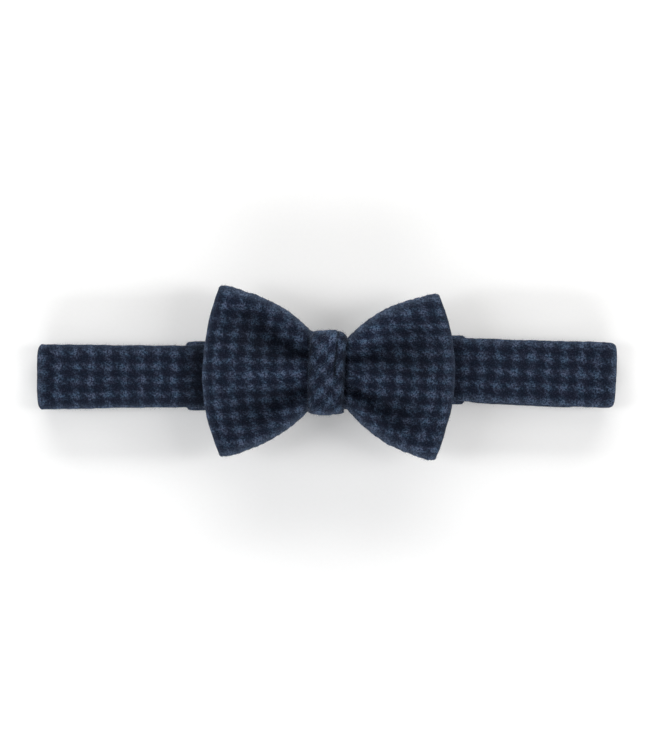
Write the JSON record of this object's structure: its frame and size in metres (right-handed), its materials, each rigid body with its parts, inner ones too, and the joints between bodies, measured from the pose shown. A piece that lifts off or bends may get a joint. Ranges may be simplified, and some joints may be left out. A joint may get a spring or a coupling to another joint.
{
  "type": "bow tie",
  "caption": "Pre-tied butterfly bow tie in dark blue houndstooth wool, with a folded neckband that opens at a wide touch-fastener tab behind the bow.",
  "frame": {"origin": "centre of the bounding box in X and Y, on the table that the tie lies on", "axes": "+X along the neckband to the wearer's left, +Y up the bow, +Z out of the bow's face"},
  "size_m": [0.2, 0.06, 0.0224],
  "materials": {
    "wool": "brushed wool houndstooth",
    "canvas": "plain woven interlining",
    "thread": "sewing thread",
    "tape": "hook and loop tape",
    "label": "plain woven label"
  },
  "bodies": {
    "front_band": {"front_band_cloth": "wool", "front_band_interlining": "canvas", "left_fold": "wool", "right_fold": "wool"},
    "left_half": {"left_back_cloth": "wool", "left_back_interlining": "canvas", "hook_tape": "tape", "hook_tape_seam": "thread"},
    "right_half": {"right_back_cloth": "wool", "right_back_interlining": "canvas", "loop_tape": "tape", "loop_tape_seam": "thread", "size_label": "label"},
    "bow": {"bow_cloth": "wool", "bow_interlining": "canvas", "back_seam_stitches": "thread", "gathering_thread": "thread", "knot_wrap": "wool", "knot_interlining": "canvas", "knot_closing_stitches": "thread"}
  },
  "joints": [
    {"name": "bow_slide", "type": "slide", "parent": "front_band", "child": "bow", "axis": [0.9997, 0.0241, 0], "range_m": [-0.02, 0.02]},
    {"name": "right_fold_hinge", "type": "hinge", "parent": "front_band", "child": "right_half", "pos_m": [0.09509, -0.00101, 0.0045], "axis": [-0.0427, -0.9991, 0], "range_deg": [0, 178], "deforming": ["right_fold"]},
    {"name": "left_fold_hinge", "type": "hinge", "parent": "front_band", "child": "left_half", "pos_m": [-0.0955, -0.0012, 0.0045], "axis": [0, 1, 0], "range_deg": [0, 178], "deforming": ["left_fold"]}
  ],
  "couplings": [
    {"joint": "left_fold_hinge", "follows": "right_fold_hinge", "ratio": 1}
  ]
}
